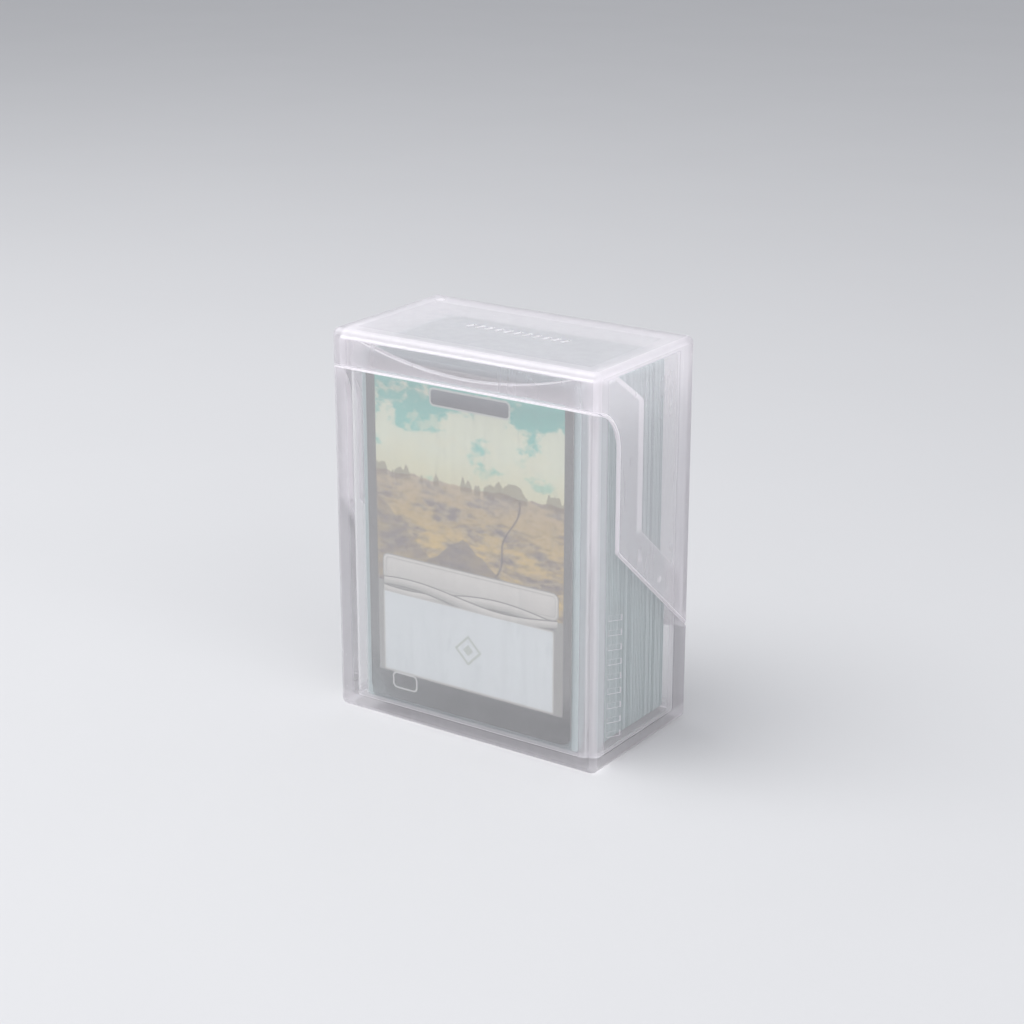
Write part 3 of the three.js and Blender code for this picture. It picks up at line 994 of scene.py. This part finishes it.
def card_art(looks):
    """The front card's printed face: a landscape over a plate and a blank box, in a dark border."""
    graph = Graph("printed card")
    x, _, z = graph.axes()
    paper = graph.noise(1.2 * MM, detail=3)
    # The border darkens towards the bottom: painted shade from the box's base, mixed with the paper's own
    # mottle.
    paper_mottle_and_painted_shade = 0.35 * paper + 0.65 * z.ramp(9, 22)
    colour = graph.blend(paper_mottle_and_painted_shade, scaled(looks.border, 0.07), looks.border)
    lower = inside(plate_distance(x, z, *LOWER_PLATE))
    colour = graph.blend(lower, colour, scaled(looks.plate, 0.50))
    window = inside(plate_distance(x, z, *PICTURE))
    colour = graph.blend(window, colour, landscape(graph, x, z, looks))

    title = plate_distance(x, z, *TITLE_PLATE)
    ink = graph.blend(z.ramp(*TITLE_PLATE[2:4]), (0.24, 0.23, 0.24), (0.34, 0.34, 0.36))
    colour = plate_laid(graph, colour, title, 0.5, (0.80, 0.80, 0.76), ink)

    bar = plate_distance(x, z, *BAR)
    shine = graph.blend(z.ramp(*BAR[2:4]), scaled(looks.plate, 0.86), looks.plate)
    colour = plate_laid(graph, colour, bar, 0.35, scaled(looks.plate, 0.55), shine)
    colour = graph.blend(inside(abs(bar + 0.75) - 0.12), colour, scaled(looks.plate, 0.68))

    for turn in (1, -1):
        wave = 36.9 + turn * 1.5 * (x * 0.105 + 0.5).sine()
        ribbon = abs(z - wave) - 1.25 + 0.014 * abs(x)
        cloth = graph.blend((z - wave).ramp(-1.2, 1.0), scaled(looks.plate, 0.62), looks.plate)
        within = inside(abs(x - 0.3) - 27.3)
        colour = plate_laid(graph, colour, ribbon, 0.35, scaled(looks.plate, 0.36), cloth, within)

    box = plate_distance(x, z, *BLANK_BOX)
    fibres = graph.blend(paper, looks.box, scaled(looks.box, 0.96))
    colour = plate_laid(graph, colour, box, 0.4, scaled(looks.plate, 0.80), fibres)
    diamond = abs(x) + abs(z - 24) - 3.8
    colour = graph.blend(inside(abs(diamond) - 0.45) * 0.6, colour, (0.50, 0.54, 0.42))
    colour = graph.blend(inside(diamond + 2.2) * 0.55, colour, (0.50, 0.54, 0.42))

    tab = plate_distance(x, z, *NUMBER_TAB)
    colour = plate_laid(graph, colour, tab, 0.45, (0.85, 0.83, 0.80), (0.08, 0.075, 0.07))

    linen = graph.noise(0.35 * MM, detail=1)
    weave = graph.bump(linen, 0.01 * MM)
    return graph.done(graph.plastic(Base_Color=colour, Roughness=0.42 + 0.12 * paper, Normal=weave))


def card_edge():
    """The cut edge of a card: pale board with a darker core."""
    graph = Graph("card edge")
    fibres = graph.noise(0.3 * MM, detail=3)
    colour = graph.blend(fibres.ramp(0.35, 0.65), (0.30, 0.29, 0.29), (0.62, 0.60, 0.57))
    return graph.done(graph.plastic(Base_Color=colour, Roughness=0.8))


def clear_film(looks):
    """The front sleeve's film: clear, a little hazy, with fine creases."""
    graph = Graph("clear film")
    creases = graph.noise(2.5 * MM, detail=3, place=graph.stretched((1, 1, 0.3)))
    haze = graph.noise(11 * MM, detail=2)
    facing = graph.add("ShaderNodeFresnel", inputs={"IOR": FILM_INDEX})
    scuffs = creases.ramp(0.60, 0.70)
    return graph.done(
        graph.plastic(
            Base_Color=(*looks.film, 1),
            Roughness=0.16 + 0.10 * haze,
            Alpha=0.02 + 0.02 * haze + 0.03 * scuffs + 0.3 * facing,
            Normal=graph.bump(creases, 0.03 * MM),
        )
    )


def packed_sleeve(looks):
    """A sleeve in the deck: pale film over its card, lighter or darker from one sleeve to the next with
    painted shade of the gaps between the sleeves.
    """
    graph = Graph("packed sleeve")
    x, y, _ = graph.axes()
    sleeve_to_sleeve = graph.noise(1.5, detail=2, place=graph.point(0, y, x * 0.002))
    creases = graph.noise(3 * MM, detail=3, place=graph.stretched((1, 1, 0.25)))
    light = sleeve_to_sleeve.ramp(0.34, 0.64)
    # Painted shade: each sleeve is blended towards the gaps' dark colour by a noise along the stack.
    colour = graph.blend(0.04 + 0.62 * light, looks.deep, looks.film)
    over_card = (CARD_HALF_WIDTH / MM - abs(x)).ramp(-0.3, 0.3)
    # Over the card the film takes a darker tone made from the painted gap shade.
    colour = graph.blend(over_card, colour, [0.6 * part + 0.1 for part in looks.deep])
    folds = graph.bump(creases, 0.012 * MM)
    return graph.done(graph.plastic(Base_Color=colour, Roughness=0.24 + 0.16 * creases, Normal=folds))


def lattice_back(looks):
    """The last card's back seen through its sleeve: a plain lattice in a border."""
    graph = Graph("lattice back")
    x, _, z = graph.axes()
    one = ((x + z) * (math.pi / LATTICE_PITCH)).sine()
    other = ((x - z) * (math.pi / LATTICE_PITCH)).sine()
    lines = abs(one).smaller(abs(other)).ramp(0.10, 0.20)
    pattern = graph.blend(lines, scaled(looks.card_back, 2.2), looks.card_back)
    colour = graph.blend(inside(plate_distance(x, z, *LATTICE_PLATE)), (0.45, 0.45, 0.44), pattern)
    colour = graph.blend(inside(plate_distance(x, z, *CARD_PLATE)), looks.film, colour)
    creases = graph.noise(4 * MM, detail=3)
    folds = graph.bump(creases, 0.03 * MM)
    return graph.done(graph.plastic(Base_Color=colour, Roughness=0.22 + 0.14 * creases, Normal=folds))


def floor_paint(looks):
    """Matt pale floor."""
    graph = Graph("pale floor")
    mottle = graph.noise(90 * MM, detail=4)
    colour = graph.blend(mottle, looks.floor, scaled(looks.floor, 0.97))
    fine = graph.noise(1.5 * MM, detail=2)
    grain = graph.bump(fine, 0.02 * MM)
    return graph.done(graph.plastic(Base_Color=colour, Roughness=0.75 + 0.1 * mottle, Normal=grain))


# Operators


def fitted(piece, body, slot, *nodes):
    """Says which body the piece moves with and which nodes it stands for, which it hides; slot is not
    used.
    """
    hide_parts(*nodes)
    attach(piece, body)
    return piece


class DECKBOX_OT_mouldings(bpy.types.Operator):
    """Mould the box body and its lid"""

    bl_idname = "deck_box.mouldings"
    bl_label = "Box Body and Lid"

    def execute(self, context):
        scene = context.scene
        looks, walls = scene.deck_box_frost, scene.deck_box_walls
        edge = frosted_plastic("frosted edge", looks, walls, looks.edge_veil, looks.edge_glow)
        body = frosted_plastic("frosted body", looks, walls, looks.body_veil)
        rounds = frosted_plastic("frosted round", looks, walls, looks.round_veil)
        tongue = frosted_plastic(
            "frosted tongue", looks, walls, looks.tongue_veil, looks.edge_glow, scene.deck_box_edges
        )
        lid = frosted_plastic("frosted lid", looks, walls, looks.lid_veil)
        piece = moulded_body(walls, scene.deck_box_edges, (body, edge, rounds, tongue))
        fitted(piece, "box", "frosted_shell", "box_body")
        piece = moulded_lid(walls, scene.deck_box_edges, (lid, edge, rounds))
        fitted(piece, "lid", "frosted_shell", "lid")
        return {"FINISHED"}


class DECKBOX_OT_shown_card(bpy.types.Operator):
    """Print the front card and put it in its sleeve"""

    bl_idname = "deck_box.shown_card"
    bl_label = "Front Card and Sleeve"

    def execute(self, context):
        scene = context.scene
        sizes = scene.deck_box_sleeves
        card = printed_card(sizes)
        card.data.materials.append(card_art(scene.deck_box_card))
        card.data.materials.append(card_edge())
        fitted(card, "deck", "card_print", "front_card")
        floor = card_low.z - sleeve_low.z - sizes.film / 2
        sleeve = pouch("shown_sleeve", sleeve_low, sleeve_high, floor, sizes)
        film = clear_film(scene.deck_box_deck)
        sleeve.data.materials.append(film)
        sleeve.data.materials.append(film)
        fitted(sleeve, "deck", "sleeve_film", "front_sleeve")
        return {"FINISHED"}


class DECKBOX_OT_deck(bpy.types.Operator):
    """Stack the sleeved cards behind the front one"""

    bl_idname = "deck_box.deck"
    bl_label = "Sleeved Deck"

    def execute(self, context):
        scene = context.scene
        sizes = scene.deck_box_sleeves
        film = packed_sleeve(scene.deck_box_deck)
        edge = card_edge()
        back = lattice_back(scene.deck_box_deck)
        groove_floor = card_high.z - sleeve_low.z
        draw = random.Random(sizes.seed)
        for number, node in enumerate(DECK_NODES):
            low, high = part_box(node)
            waves = [math.sin(number * WAVE_TURN + start) for start in WAVE_STARTS]
            lean = [sizes.wander * (0.5 * wave + 0.5 * draw.uniform(-1, 1)) for wave in waves]
            lean[2] *= MOUTH_SHARE
            name = node.replace("sleeved_card", "packed_card")
            piece = pouch(name, low, high, groove_floor, sizes, lean)
            piece.data.materials.append(film)
            piece.data.materials.append(edge)
            if node == DECK_NODES[-1]:
                piece.data.materials.append(back)
                for face in piece.data.polygons:
                    if face.normal.y > 0.9 and face.material_index == 0:
                        face.material_index = 2
            fitted(piece, "deck", "sleeved_card", node)
        return {"FINISHED"}


def area_lamp(name, power, lamp, target):
    """A square lamp that faces the target."""
    light = bpy.data.lights.new(name, "AREA")
    light.shape = "SQUARE"
    light.size = lamp["size"]
    light.energy = power
    holder = bpy.data.objects.new(name, light)
    holder.location = lamp["place"]
    holder.rotation_euler = (target - holder.location).to_track_quat("-Z", "Y").to_euler()
    bpy.context.scene.collection.objects.link(holder)


class DECKBOX_OT_stage(bpy.types.Operator):
    """Lay the floor, hang the lamps and place the camera"""

    bl_idname = "deck_box.stage"
    bl_label = "Stage"

    def execute(self, context):
        scene = context.scene
        looks = scene.deck_box_stage
        bm = bmesh.new()
        bmesh.ops.create_grid(bm, x_segments=8, y_segments=8, size=FLOOR_REACH)
        floor = linked("floor", bm)
        floor.data.materials.append(floor_paint(looks))

        target = Vector((0, 0, looks.target_height))
        area_lamp("key lamp", looks.key_power, KEY_LAMP, target)
        area_lamp("fill lamp", looks.fill_power, FILL_LAMP, target)

        scene.view_settings.view_transform = "Standard"
        world = bpy.data.worlds.new("surroundings")
        world.use_nodes = True
        sky = world.node_tree.nodes["Background"]
        sky.inputs["Color"].default_value = (*looks.world, 1)
        sky.inputs["Strength"].default_value = looks.world_strength
        scene.world = world

        camera = bpy.data.cameras.new("camera")
        camera.lens = looks.lens
        camera.clip_start, camera.clip_end = 0.01, 100
        eye = bpy.data.objects.new("camera", camera)
        rise, turn = looks.elevation, looks.azimuth
        back = Vector((math.sin(turn) * math.cos(rise), -math.cos(turn) * math.cos(rise), math.sin(rise)))
        eye.location = target + back * looks.distance
        eye.rotation_euler = Euler((math.pi / 2 - rise, 0, turn))
        scene.collection.objects.link(eye)
        scene.camera = eye
        return {"FINISHED"}


class DECKBOX_PT_panel(bpy.types.Panel):
    """The box's settings and its operators"""

    bl_label = "Deck Box"
    bl_idname = "DECKBOX_PT_panel"
    bl_space_type = "VIEW_3D"
    bl_region_type = "UI"
    bl_category = "Deck Box"

    def draw(self, context):
        for group in GROUPS:
            box = self.layout.box()
            settings = getattr(context.scene, group)
            for name in settings.__annotations__:
                box.prop(settings, name)
        for operator in OPERATORS:
            self.layout.operator(operator.bl_idname)


GROUPS = {
    "deck_box_walls": WallSizes,
    "deck_box_edges": EdgeSizes,
    "deck_box_sleeves": SleeveSizes,
    "deck_box_frost": FrostLooks,
    "deck_box_card": CardLooks,
    "deck_box_deck": DeckLooks,
    "deck_box_stage": StageLooks,
}
OPERATORS = (DECKBOX_OT_mouldings, DECKBOX_OT_shown_card, DECKBOX_OT_deck, DECKBOX_OT_stage)


def register():
    for made in (*GROUPS.values(), *OPERATORS, DECKBOX_PT_panel):
        bpy.utils.register_class(made)
    for name, group in GROUPS.items():
        setattr(bpy.types.Scene, name, PointerProperty(type=group))


def unregister():
    for name in GROUPS:
        delattr(bpy.types.Scene, name)
    for made in (DECKBOX_PT_panel, *OPERATORS, *GROUPS.values()):
        bpy.utils.unregister_class(made)


def main():
    register()
    bpy.ops.deck_box.mouldings()
    bpy.ops.deck_box.shown_card()
    bpy.ops.deck_box.deck()
    bpy.ops.deck_box.stage()


if __name__ == "__main__":
    main()
